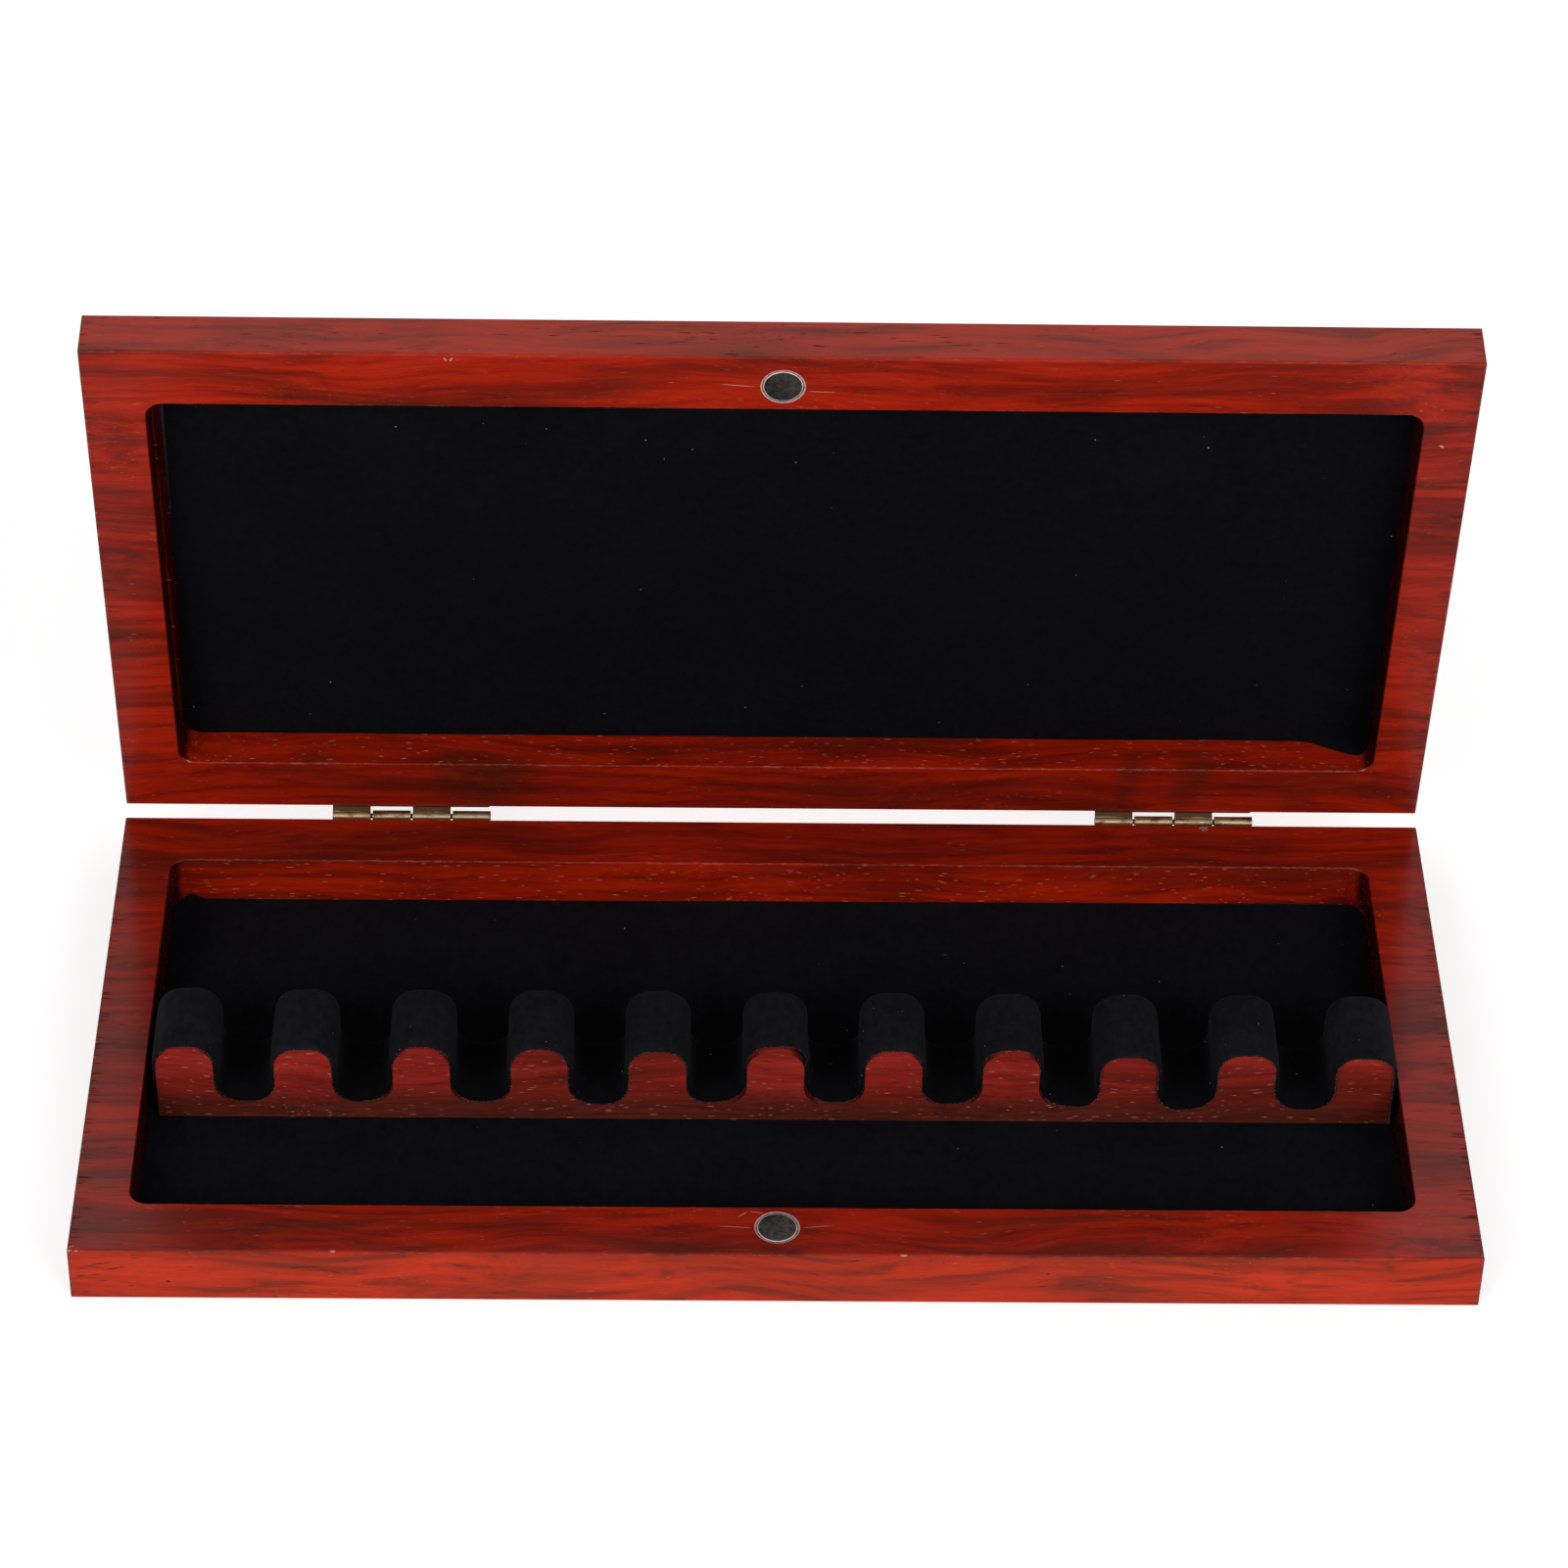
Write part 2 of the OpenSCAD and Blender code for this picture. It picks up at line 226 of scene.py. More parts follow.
class Field:
    """A shader value that takes part in ordinary arithmetic."""

    def __init__(self, graph, socket):
        self.graph = graph
        self.socket = socket

    def _math(self, operation, *others):
        node = self.graph.add("ShaderNodeMath", operation=operation)
        for slot, value in zip(node.inputs, (self, *others)):
            self.graph.feed(slot, value)
        return Field(self.graph, node.outputs[0])

    def __add__(self, other):
        return self._math("ADD", other)

    def __sub__(self, other):
        return self._math("SUBTRACT", other)

    def __mul__(self, other):
        return self._math("MULTIPLY", other)

    def __truediv__(self, other):
        return self._math("DIVIDE", other)

    def __abs__(self):
        return self._math("ABSOLUTE")

    def invert(self):
        """One minus the value."""
        return self * -1.0 + 1.0

    def low(self, other):
        """The smaller of the two."""
        return self._math("MINIMUM", other)

    def high(self, other):
        """The larger of the two."""
        return self._math("MAXIMUM", other)

    def root(self):
        """The square root."""
        return self._math("SQRT")

    def ramp(self, start, end):
        """0 below start and 1 above end, with a smooth rise between. start may be above end."""
        node = self.graph.add("ShaderNodeMapRange", interpolation_type="SMOOTHSTEP")
        self.graph.feed(node.inputs["Value"], self)
        node.inputs["From Min"].default_value = start
        node.inputs["From Max"].default_value = end
        return Field(self.graph, node.outputs["Result"])


class Graph:
    """Adds shader nodes to one new material and links them."""

    def __init__(self, name):
        self.material = bpy.data.materials.new(name)
        self.material.use_nodes = True
        self.tree = self.material.node_tree
        self.tree.nodes.clear()
        self.shader = self.add("ShaderNodeBsdfPrincipled")
        output = self.add("ShaderNodeOutputMaterial")
        self.tree.links.new(self.shader.outputs[0], output.inputs["Surface"])
        self.place = self.add("ShaderNodeTexCoord").outputs["Object"]

    def add(self, kind, **settings):
        """A new node with those settings."""
        node = self.tree.nodes.new(kind)
        for key, value in settings.items():
            setattr(node, key, value)
        return node

    def feed(self, slot, value):
        """Puts a field, a socket or a plain value into an input."""
        if isinstance(value, Field):
            self.tree.links.new(value.socket, slot)
        elif isinstance(value, bpy.types.NodeSocket):
            self.tree.links.new(value, slot)
        else:
            slot.default_value = value

    def set(self, **values):
        """Sets the shader's inputs. Underscores in a name stand for spaces."""
        for key, value in values.items():
            self.feed(self.shader.inputs[key.replace("_", " ")], value)

    def turned(self, vector, pivot, angle, axis):
        """The vector turned about an axis through pivot."""
        node = self.add("ShaderNodeVectorRotate", rotation_type="AXIS_ANGLE")
        self.feed(node.inputs["Vector"], vector)
        node.inputs["Center"].default_value = pivot
        node.inputs["Axis"].default_value = axis
        node.inputs["Angle"].default_value = angle
        return node.outputs[0]

    def scaled(self, vector, cell, shift):
        """The vector counted in cells of that size in metres, moved by shift cells."""
        node = self.add("ShaderNodeVectorMath", operation="MULTIPLY_ADD")
        self.feed(node.inputs[0], vector)
        node.inputs[1].default_value = [1.0 / c for c in cell]
        node.inputs[2].default_value = shift
        return node.outputs[0]

    def offset(self, vector, by):
        """The vector plus another one."""
        node = self.add("ShaderNodeVectorMath", operation="ADD")
        self.feed(node.inputs[0], vector)
        self.feed(node.inputs[1], by)
        return node.outputs[0]

    def xyz(self, vector):
        """The vector's three parts, as fields."""
        node = self.add("ShaderNodeSeparateXYZ")
        self.feed(node.inputs[0], vector)
        return [Field(self, s) for s in node.outputs]

    def joined(self, x, y, z):
        """The vector with those parts."""
        node = self.add("ShaderNodeCombineXYZ")
        for slot, value in zip(node.inputs, (x, y, z)):
            self.feed(slot, value)
        return node.outputs[0]

    def cloud(self, vector, cell, seed=0.0, detail=2.0, rough=0.5):
        """Smooth noise from 0 to 1, with blobs about one cell across."""
        node = self.add("ShaderNodeTexNoise")
        self.feed(node.inputs["Vector"], self.scaled(vector, cell, (seed, seed * 1.7, -seed)))
        node.inputs["Scale"].default_value = 1.0
        node.inputs["Detail"].default_value = detail
        node.inputs["Roughness"].default_value = rough
        return Field(self, node.outputs["Fac"])

    def reach(self, vector, centre, size, lean=0.0):
        """Distance from centre, counted so that 1 is the skin of an egg with half axes size."""
        node = self.add("ShaderNodeMapping", vector_type="TEXTURE")
        self.feed(node.inputs["Vector"], vector)
        node.inputs["Location"].default_value = centre
        node.inputs["Rotation"].default_value = (0.0, 0.0, lean)
        node.inputs["Scale"].default_value = size
        length = self.add("ShaderNodeVectorMath", operation="LENGTH")
        self.feed(length.inputs[0], node.outputs[0])
        return Field(self, length.outputs["Value"])

    def spots(self, vector, cell, radius, share, seed=0.0):
        """1 in spots scattered one to a cell. radius is in cells and share is how many cells have one."""
        node = self.add("ShaderNodeTexVoronoi")
        self.feed(node.inputs["Vector"], self.scaled(vector, cell, (seed, -seed, seed * 2.3)))
        node.inputs["Scale"].default_value = 1.0
        chance = self.add("ShaderNodeSeparateColor")
        self.feed(chance.inputs[0], node.outputs["Color"])
        size = Field(self, chance.outputs[0]) * (radius * 0.6) + radius * 0.4
        inside = (Field(self, node.outputs["Distance"]) / size).ramp(1.0, 0.6)
        return inside * Field(self, chance.outputs[1]).ramp(share, share - 0.02)

    def mix(self, factor, first, second):
        """Colour that goes from first to second as factor goes from 0 to 1."""
        node = self.add("ShaderNodeMix", data_type="RGBA")
        self.feed(node.inputs["Factor"], factor)
        for slot, value in zip(node.inputs[6:8], (first, second)):
            self.feed(slot, (*value, 1.0) if isinstance(value, tuple) else value)
        return node.outputs[2]

    def shade(self, colour, factor):
        """The colour made darker or lighter by a factor."""
        node = self.add("ShaderNodeVectorMath", operation="SCALE")
        self.feed(node.inputs[0], colour)
        self.feed(node.inputs["Scale"], factor)
        return node.outputs[0]

    def bump(self, height, depth):
        """Dents and ridges, depth metres from a height of 0 to a height of 1."""
        node = self.add("ShaderNodeBump")
        node.inputs["Distance"].default_value = depth
        self.feed(node.inputs["Height"], height)
        self.feed(self.shader.inputs["Normal"], node.outputs[0])


# ---- Wood -------------------------------------------------------------------


class Board:
    """Where a piece of wood lies once the case is shut, and the marks in it."""

    def __init__(self, low, high, seed, lightness, turn=None):
        self.middle = (low + high) / 2
        self.half = (high - low) / 2
        self.seed = seed
        self.lightness = lightness
        self.turn = turn
        self.pocket = None

    def routed(self, pocket, rim_z, smoke, knots, scratches, splits):
        """Adds a pocket open at rim_z, marks on the rim round it and splits in the front side."""
        self.pocket = pocket
        self.rim_z = rim_z
        self.smoke = smoke
        self.knots = knots
        self.scratches = scratches
        self.splits = splits
        return self


class Grain:
    """Fields that every piece of wood has.

    place is a point of the shut case, and bent the same point moved so that straight grain turns
    wavy. The rest is noise along the grain, from the broadest to the finest, then the drifts in
    which pores lie. A cell is its length along the grain, then its width and height, in metres.
    """

    def __init__(self, graph, board):
        seed = board.seed
        self.place = graph.turned(graph.place, *board.turn) if board.turn else graph.place
        self.x, self.y, self.z = graph.xyz(self.place)
        broad_y = (graph.cloud(self.place, (0.090, 0.036, 0.036), seed, 1.0) - 0.5) * 0.026
        broad_z = (graph.cloud(self.place, (0.070, 0.030, 0.030), seed + 4.0, 1.0) - 0.5) * 0.020
        fine = (graph.cloud(self.place, (0.026, 0.010, 0.010), seed + 13.0, 2.0) - 0.5) * 0.0022
        self.bent = graph.offset(self.place, graph.joined(0.0, broad_y + fine, broad_z + fine))
        self.zone = graph.cloud(self.bent, (0.100, 0.013, 0.013), seed + 2.0, 2.0)
        self.band = graph.cloud(self.bent, (0.060, 0.0036, 0.0036), seed + 6.0, 3.0, 0.55)
        self.line = graph.cloud(self.bent, (0.024, 0.0012, 0.0012), seed + 14.0, 3.0, 0.65)
        self.fibre = graph.cloud(self.bent, (0.009, 0.00045, 0.00045), seed, 2.0, 0.6)
        self.drift = graph.cloud(self.bent, (0.030, 0.008, 0.008), seed + 21.0, 2.0)


class Tray:
    """Fields that only a board with a pocket has.

    past_mouth is the distance outside the pocket's outline, below_rim the distance from the rim's
    plane and to_end the distance from the nearer short side, all in metres. inside is 1 in the
    pocket, side is 1 on the two long outer sides, and patchy is noise that breaks up wear.
    """

    def __init__(self, graph, board, grain):
        self.past_mouth = outside_pocket(board, grain.x, grain.y)
        self.below_rim = abs(grain.z - board.rim_z)
        self.to_end = abs(grain.x - board.middle.x) * -1.0 + board.half.x
        off_underside = (self.below_rim - 2 * board.half.z).ramp(-0.6 * MM, -1.2 * MM)
        off_rim = self.below_rim.ramp(0.1 * MM, 0.5 * MM)
        self.inside = self.past_mouth.ramp(0.4 * MM, 0.0) * off_rim * off_underside
        self.side = (abs(grain.y - board.middle.y) - board.half.y).ramp(-0.5 * MM, -0.2 * MM)
        self.patchy = graph.cloud(grain.place, (0.0032, 0.0010, 0.0010), board.seed + 5.0, 3.0, 0.75)


def outer_edge(board, grain):
    """Distance in metres from a point on the outside of the board to its nearest edge."""
    to_x = abs(grain.x - board.middle.x) * -1.0 + board.half.x
    to_y = abs(grain.y - board.middle.y) * -1.0 + board.half.y
    to_z = abs(grain.z - board.middle.z) * -1.0 + board.half.z
    return to_x.low(to_y).high(to_x.high(to_y).low(to_z))


def outside_pocket(board, x, y):
    """Distance in metres outside the pocket's outline, negative inside it."""
    low, high = board.pocket
    past_x = abs(x - (low.x + high.x) / 2) - ((high.x - low.x) / 2 - POCKET_ROUND)
    past_y = abs(y - (low.y + high.y) / 2) - ((high.y - low.y) / 2 - POCKET_ROUND)
    beyond_x = past_x.high(0.0)
    beyond_y = past_y.high(0.0)
    corner = (beyond_x * beyond_x + beyond_y * beyond_y).root()
    return corner + past_x.high(past_y).low(0.0) - POCKET_ROUND


def smoke_marks(graph, board, grain):
    """How smoky the wood is from the board's own patches and knots, from 0 to 1."""
    total = None
    ripple = graph.cloud(grain.place, (0.014, 0.004, 0.004), board.seed + 17.0, 2.0)
    for x, y, long, wide, lean, strength in board.smoke:
        centre = Vector((x * MM, y * MM, board.rim_z))
        size = (long * MM, wide * MM, SMOKE_DEPTH)
        patch = graph.reach(grain.bent, centre, size, math.radians(lean)).ramp(1.5, 0.2) * strength
        total = total.high(patch) if total else patch
    for x, y, radius, wide, strength in board.knots:
        centre = Vector((x * MM, y * MM, board.rim_z))
        far = graph.reach(grain.place, centre, (radius * MM,) * 3) + (ripple - 0.5) * 0.5
        total = total.high(abs(far - 1.0).ramp(2.4 * wide / radius, 0.0) * ripple * strength)
    return total


def streaks(graph, place, marks, height):
    """1 in each of the marks, which lie at that height on the third axis of place."""
    total = None
    for across, along, long, wide, lean in marks:
        centre = Vector((across * MM, along * MM, height))
        size = (long * MM, wide * MM, STREAK_DEPTH)
        streak = graph.reach(place, centre, size, math.radians(lean)).ramp(1.0, 0.6)
        total = total.high(streak) if total else streak
    return total


def long_grain_tone(graph, board, grain, tones, foot):
    """Colour of the wood between its pores, with smoky patches and fine lines along the grain."""
    bright, deep, smoky = tones
    tone = graph.mix((grain.zone * 0.5 + grain.band * 0.5).ramp(0.38, 0.64), bright, deep)
    smoke = grain.zone.ramp(0.46, 0.74) * 0.60
    if board.pocket:
        smoke = smoke.high(smoke_marks(graph, board, grain))
    if foot:
        smoke = smoke.high((grain.z + grain.band * 0.010).ramp(foot[1], foot[0]) * 0.95)
    tone = graph.mix(smoke * (grain.line * 0.6 + 0.60), tone, smoky)
    tone = graph.mix(grain.band.ramp(0.50, 0.76) * 0.36, tone, smoky)
    lightness = (grain.line - 0.5) * -0.6 + (grain.fibre - 0.5) * -0.8 + (grain.band - 0.5) * -0.5 + 1.0
    return graph.shade(tone, lightness.high(0.3) * board.lightness)


def end_grain_tone(graph, board, grain, tones):
    """Colour of the wood where it is cut across. It drinks more finish there, so it is darker."""
    _, deep, smoky = tones
    cells = graph.cloud(grain.place, (0.0009, 0.0007, 0.0007), board.seed + 25.0, 2.0)
    tone = graph.mix(cells.ramp(0.35, 0.7), shaded(deep, 0.55), shaded(smoky, 0.5))
    return graph.shade(tone, (grain.band - 0.5) * -1.6 + 1.0)


def open_pores(graph, board, grain):
    """1 in dark pores: dashes along the grain and rounder specks, in drifts."""
    dash = graph.spots(grain.bent, (0.0120, 0.00075, 0.00075), 0.30, 0.50, board.seed + 3.0)
    speck = graph.spots(grain.bent, (0.0030, 0.0013, 0.0013), 0.15, 0.40, board.seed + 9.0)
    return dash.high(speck) * grain.drift.ramp(0.38, 0.52) * grain.fibre.ramp(0.40, 0.50)


def dusty_pores(graph, board, grain, dust):
    """1 in pores filled with pale dust: a few everywhere, and more where dust is high."""
    few = graph.spots(grain.bent, (0.0070, 0.00055, 0.00055), 0.22, 0.26, board.seed + 7.0)
    more = graph.spots(grain.bent, (0.0056, 0.00070, 0.00070), 0.27, 0.60, board.seed + 1.0)
    return (few * grain.drift.ramp(0.56, 0.46) * 0.5).high(more * dust)


def rim_wear_and_highlight(graph, board, grain, tray):
    """How far the finish is rubbed off the outer edges and the mouth, and scratched through. The pale
    line along the outer edges is partly wear and partly a painted highlight on the arris.
    """
    # Partly wear, partly painted highlight: a thin pale line along every outer edge.
    edge = outer_edge(board, grain).ramp(0.34 * MM, 0.18 * MM)
    rim_arris = abs(tray.past_mouth - MOUTH_CHAMFER).high(tray.below_rim)
    wall_arris = abs(tray.below_rim - MOUTH_CHAMFER).high(abs(tray.past_mouth))
    mouth = rim_arris.low(wall_arris).ramp(0.17 * MM, 0.07 * MM)
    low, high = board.pocket
    past_pocket = abs(grain.x - (low.x + high.x) / 2) - (high.x - low.x) / 2
    mouth = mouth * past_pocket.ramp(-0.5 * MM, -6.0 * MM)
    scratch = streaks(graph, grain.place, board.scratches, board.rim_z)
    rubbed = tray.patchy.ramp(0.48, 0.64)
    return (edge * rubbed * 0.55).high(mouth * rubbed * 0.28).high(scratch * tray.patchy.ramp(0.30, 0.44))


def torn_ends(graph, board, grain, tray):
    """Dark cuts and pale chips in the grain, that start at the short sides."""
    tear = graph.cloud(grain.place, (0.018, 0.00055, 0.00090), board.seed + 8.0, 1.0)
    length = graph.cloud(grain.place, (0.05, 0.0035, 0.02), board.seed + 1.5, 1.0) * 11.0 * MM
    cuts = tear.ramp(0.57, 0.65) * ((length - tray.to_end).ramp(1.6 * MM, 4.0 * MM) * 0.65)
    chips = tear.ramp(0.38, 0.32) * tray.to_end.ramp(1.0 * MM, 0.3 * MM)
    chips = chips * tray.below_rim.ramp(0.7 * MM, 0.2 * MM) * grain.drift.ramp(0.50, 0.56) * 0.6
    return cuts, chips


def front_splits(graph, board, grain, tray):
    """1 in the board's own splits in its front side."""
    front = graph.joined(grain.x, grain.z, grain.y)
    split = streaks(graph, front, board.splits, board.middle.y - board.half.y)
    return split * tray.patchy.ramp(0.34, 0.50)


def side_grain_and_painted_light(graph, grain, tray, tone, smoky):
    """The colour on the long sides: painted light makes it lighter and more orange there, and darker
    bands of the grain run through it.
    """
    tone = graph.mix(tray.side * 0.16, tone, LIT_SIDE_TONE)
    tone = graph.mix(tray.side * grain.band.ramp(0.52, 0.66) * 0.30, tone, smoky)
    return graph.shade(tone, tray.side * 0.14 + 1.0)


def shaded(colour, factor):
    """A plain colour made darker or lighter by a factor."""
    return tuple(factor * c for c in colour)


def rosewood(name, board, tones, dust=0.0, foot=None):
    """Open-pored red-brown wood with its grain along X, under a thin satin finish.

    tones is (bright, deep, smoky). dust is how much pale dust fills its pores everywhere, and foot
    is the height over which the wood browns towards its lower edge.
    """
    smoky = tones[2]
    graph = Graph(name)
    grain = Grain(graph, board)
    tone = long_grain_tone(graph, board, grain, tones, foot)
    end_tone = end_grain_tone(graph, board, grain, tones)
    cut_across = abs(graph.xyz(graph.add("ShaderNodeNewGeometry").outputs["Normal"])[0])
    dark = open_pores(graph, board, grain)
    wear_and_highlight = graph.spots(grain.place, (0.0120, 0.0120, 0.0120), 0.018, 0.60, board.seed + 30.0)
    if board.pocket:
        tray = Tray(graph, board, grain)
        cuts, chips = torn_ends(graph, board, grain, tray)
        splits = front_splits(graph, board, grain, tray)
        near_mouth = tray.past_mouth.ramp(9 * MM, 0.5 * MM) * grain.drift.ramp(0.52, 0.62) * 0.5
        dust = tray.inside.high(near_mouth) * 0.9
        dark = (dark * (tray.side * 0.6 + 0.4)).high(cuts).high(splits) * tray.inside.invert()
        wear_and_highlight = wear_and_highlight.high(rim_wear_and_highlight(graph, board, grain, tray)).high(chips)
        # Painted light on the long outer sides, with their grain bands.
        tone = side_grain_and_painted_light(graph, grain, tray, tone, smoky)
        # Painted light: the wood of the pocket's walls is made lighter.
        tone = graph.shade(tone, tray.inside * 0.16 + 1.0)
        # Painted shade: the end walls and the floor of the pocket are darkened nearly to black.
        end_tone = graph.shade(end_tone, tray.inside * -0.88 + 1.0)
        cut_across = cut_across.high(tray.past_mouth.ramp(-0.03 * MM, -0.10 * MM) * tray.inside)
    pale = dusty_pores(graph, board, grain, dust)
    tone = graph.mix(cut_across.ramp(0.30, 0.80) * 0.94, tone, end_tone)
    tone = graph.mix(dark * 0.85, tone, shaded(smoky, 0.18))
    tone = graph.mix(pale * 0.80, tone, PORE_DUST)
    tone = graph.mix(wear_and_highlight * 0.65, tone, SCUFF_AND_HIGHLIGHT)
    smear = graph.cloud(grain.place, (0.06, 0.03, 0.03), board.seed + 12.0, 3.0)
    graph.set(
        Base_Color=tone,
        Roughness=grain.fibre * 0.06 + smear * 0.08 + wear_and_highlight * 0.20 + dark * 0.7 + 0.13,
        Specular_IOR_Level=WOOD_GLOSS,
    )
    graph.bump(grain.fibre * 0.08 - dark * 0.9 - pale * 0.20 + wear_and_highlight * 0.1, 0.07 * MM)
    return graph.material


# ---- Cloth, metal, glue and card --------------------------------------------


def velvet(name, pile, lint_cell, seed, groove_shade_heights=None):
    """Black short-pile velvet with a soft sheen, a wandering nap and a little lint.

    Between the two heights of its last argument, the pile is painted from dark to its full tone: painted
    shade down in the rack's grooves.
    """
    graph = Graph(name)
    # Painted shade: the pile darkens towards the groove floors.
    groove_shading = graph.xyz(graph.place)[2].ramp(*groove_shade_heights) * 0.75 + 0.25 if groove_shade_heights else 1.0
    nap = graph.cloud(graph.place, (0.030, 0.018, 0.026), seed, 3.0, 0.55)
    clump = graph.cloud(graph.place, (0.0024, 0.0036, 0.0024), seed + 5.0, 3.0, 0.6)
    tuft = graph.cloud(graph.place, (0.00034, 0.00034, 0.00034), seed + 3.0, 1.0, 0.6)
    lint = graph.spots(graph.place, (lint_cell,) * 3, 0.16 * MM / lint_cell * 1.6, 0.55, seed)
    hair = graph.spots(graph.place, (0.010, 0.0020, 0.0020), 0.050, 0.10, seed + 2.0)
    lift = nap * 0.35 + clump * 0.45 + tuft * 0.20
    tone = graph.mix(lift.ramp(0.32, 0.70), shaded(pile, 0.5), shaded(pile, 1.5))
    tone = graph.shade(tone, groove_shading)
    tone = graph.mix(lint.high(hair * 0.5) * 0.9, tone, LINT)
    graph.set(
        Base_Color=tone,
        Roughness=nap * 0.10 + 0.86,
        Specular_IOR_Level=0.08,
        Sheen_Weight=0.022,
        Sheen_Roughness=0.50,
        Sheen_Tint=(0.72, 0.78, 1.0, 1.0),
    )
    graph.bump(tuft * 0.6 + clump * 0.4 + lint, 0.10 * MM)
    return graph.material


def cloth_backing(name):
    """Woven ground of the velvet, seen only at its cut edges, with loose ends of pile."""
    graph = Graph(name)
    fuzz = graph.cloud(graph.place, (0.0005, 0.0005, 0.0005), 2.0, 3.0, 0.7)
    graph.set(
        Base_Color=graph.mix(fuzz.ramp(0.44, 0.66), (0.006, 0.005, 0.006), (0.20, 0.18, 0.19)),
        Roughness=fuzz * 0.1 + 0.85,
        Specular_IOR_Level=0.1,
    )
    graph.bump(fuzz, 0.2 * MM)
    return graph.material


def antique_brass(name, bright, tarnish, seed, axis=None, radius=0.0):
    """Satin brass, drawn along X, darker where it has tarnished.

    Farther than radius from the hinge's axis, on the flat of the leaf, it is painted brown: a painted
    reflection of the wood beside it.
    """
    graph = Graph(name)
    stain = graph.cloud(graph.place, (0.006, 0.003, 0.003), seed, 4.0, 0.6)
    scratch = graph.cloud(graph.place, (0.008, 0.00018, 0.00018), seed + 2.0, 2.0)
    tone = graph.mix(stain.ramp(0.38, 0.70) * 0.75, bright, tarnish)
    if axis:
        # Painted reflection: the leaf's flat, away from the knuckle, takes the wood's brown.
        far = graph.reach(graph.place, axis, (1000.0, radius, radius))
        tone = graph.mix((far + (stain - 0.5) * 0.5).ramp(0.98, 1.06) * 0.85, tone, LEAF_WOOD_REFLECTION)
    graph.set(
        Base_Color=tone,
        Metallic=1.0,
        Roughness=stain * 0.22 + scratch * 0.14 + 0.16,
    )
    graph.bump(scratch * 0.6 + stain * 0.4, 0.02 * MM)
    return graph.material


def pin_steel(name):
    """Dull steel rod, darkened by oxide."""
    graph = Graph(name)
    oxide = graph.cloud(graph.place, (0.004, 0.0008, 0.0008), 3.0, 3.0)
    graph.set(
        Base_Color=graph.mix(oxide.ramp(0.35, 0.7), (0.10, 0.095, 0.09), (0.03, 0.025, 0.02)),
        Metallic=1.0,
        Roughness=oxide * 0.25 + 0.30,
    )
    graph.bump(oxide, 0.01 * MM)
    return graph.material


def magnet_plate(name, low, high, turn):
    """Nickel plate of a disc between those corners: dull in the middle and rubbed bright at the edge."""
    graph = Graph(name)
    place = graph.turned(graph.place, *turn) if turn else graph.place
    smudge = graph.cloud(place, (0.004, 0.0026, 0.004), 6.0, 4.0, 0.65)
    grit = graph.cloud(place, (0.00040, 0.00040, 0.00040), 8.0, 2.0, 0.7)
    radius = (high.x - low.x) / 2
    far = graph.reach(place, (low + high) / 2, (radius, radius, radius))
    rubbed = (far + (grit - 0.5) * 0.05).ramp(0.91, 0.95)
    tone = graph.mix(smudge.ramp(0.40, 0.62), (0.050, 0.058, 0.070), (0.160, 0.155, 0.115))
    tone = graph.mix(grit.ramp(0.60, 0.74) * 0.7, tone, (0.50, 0.48, 0.40))
    tone = graph.mix(rubbed, tone, (0.86, 0.80, 0.78))
    graph.set(
        Base_Color=tone,
        Metallic=rubbed * -0.55 + 0.80,
        Roughness=smudge * 0.20 + rubbed * 0.15 + 0.20,
    )
    graph.bump(smudge * 0.6 + grit * 0.4, 0.010 * MM)
    return graph.material


def dried_glue(name, ring=None, turn=None):
    """Clear brown glue with pale bubbles and dust in it.

    ring is the corners of a ring of it, which is pale only along its outer edge.
    """
    graph = Graph(name)
    cloudy = graph.cloud(graph.place, (0.0012, 0.0012, 0.0012), 4.0, 3.0)
    bubble = graph.cloud(graph.place, (0.00045, 0.00045, 0.00045), 9.0, 2.0, 0.7)
    pale = bubble.ramp(0.50, 0.64) * 0.8
    if ring:
        low, high = ring
        place = graph.turned(graph.place, *turn) if turn else graph.place
        radius = (high.x - low.x) / 2
        far = graph.reach(place, (low + high) / 2, (radius, radius, radius))
        pale = (far + (bubble - 0.5) * 0.05).ramp(0.955, 0.985) * 0.85
    tone = graph.mix(cloudy.ramp(0.40, 0.60), (0.16, 0.024, 0.014), (0.40, 0.16, 0.12))
    graph.set(
        Base_Color=graph.mix(pale, tone, (0.72, 0.50, 0.45)),
        Roughness=cloudy * 0.3 + 0.25,
        Subsurface_Weight=0.2,
        Subsurface_Scale=0.5 * MM,
    )
    graph.bump(cloudy * 0.6 + bubble * 0.4, 0.08 * MM)
    return graph.material


def charcoal_card(name):
    """Card dyed through, nearly black."""
    graph = Graph(name)
    pulp = graph.cloud(graph.place, (0.0012, 0.0004, 0.0012), 5.0, 4.0, 0.65)
    graph.set(
        Base_Color=graph.mix(pulp.ramp(0.3, 0.7), (0.010, 0.009, 0.009), (0.026, 0.024, 0.023)),
        Roughness=pulp * 0.1 + 0.85,
    )
    graph.bump(pulp, 0.03 * MM)
    return graph.material


def pale_floor(name):
    """Near-white table top that glows a little, as a lit studio sweep does."""
    graph = Graph(name)
    dust = graph.cloud(graph.place, (0.5, 0.5, 0.5), 1.0, 2.0)
    graph.set(
        Base_Color=graph.mix(dust, (0.86, 0.86, 0.86), (0.88, 0.88, 0.88)),
        Roughness=0.75,
        Specular_IOR_Level=0.2,
        Emission_Color=(1.0, 1.0, 1.0, 1.0),
        Emission_Strength=0.60,
    )
    return graph.material


# ---- Cloth ------------------------------------------------------------------


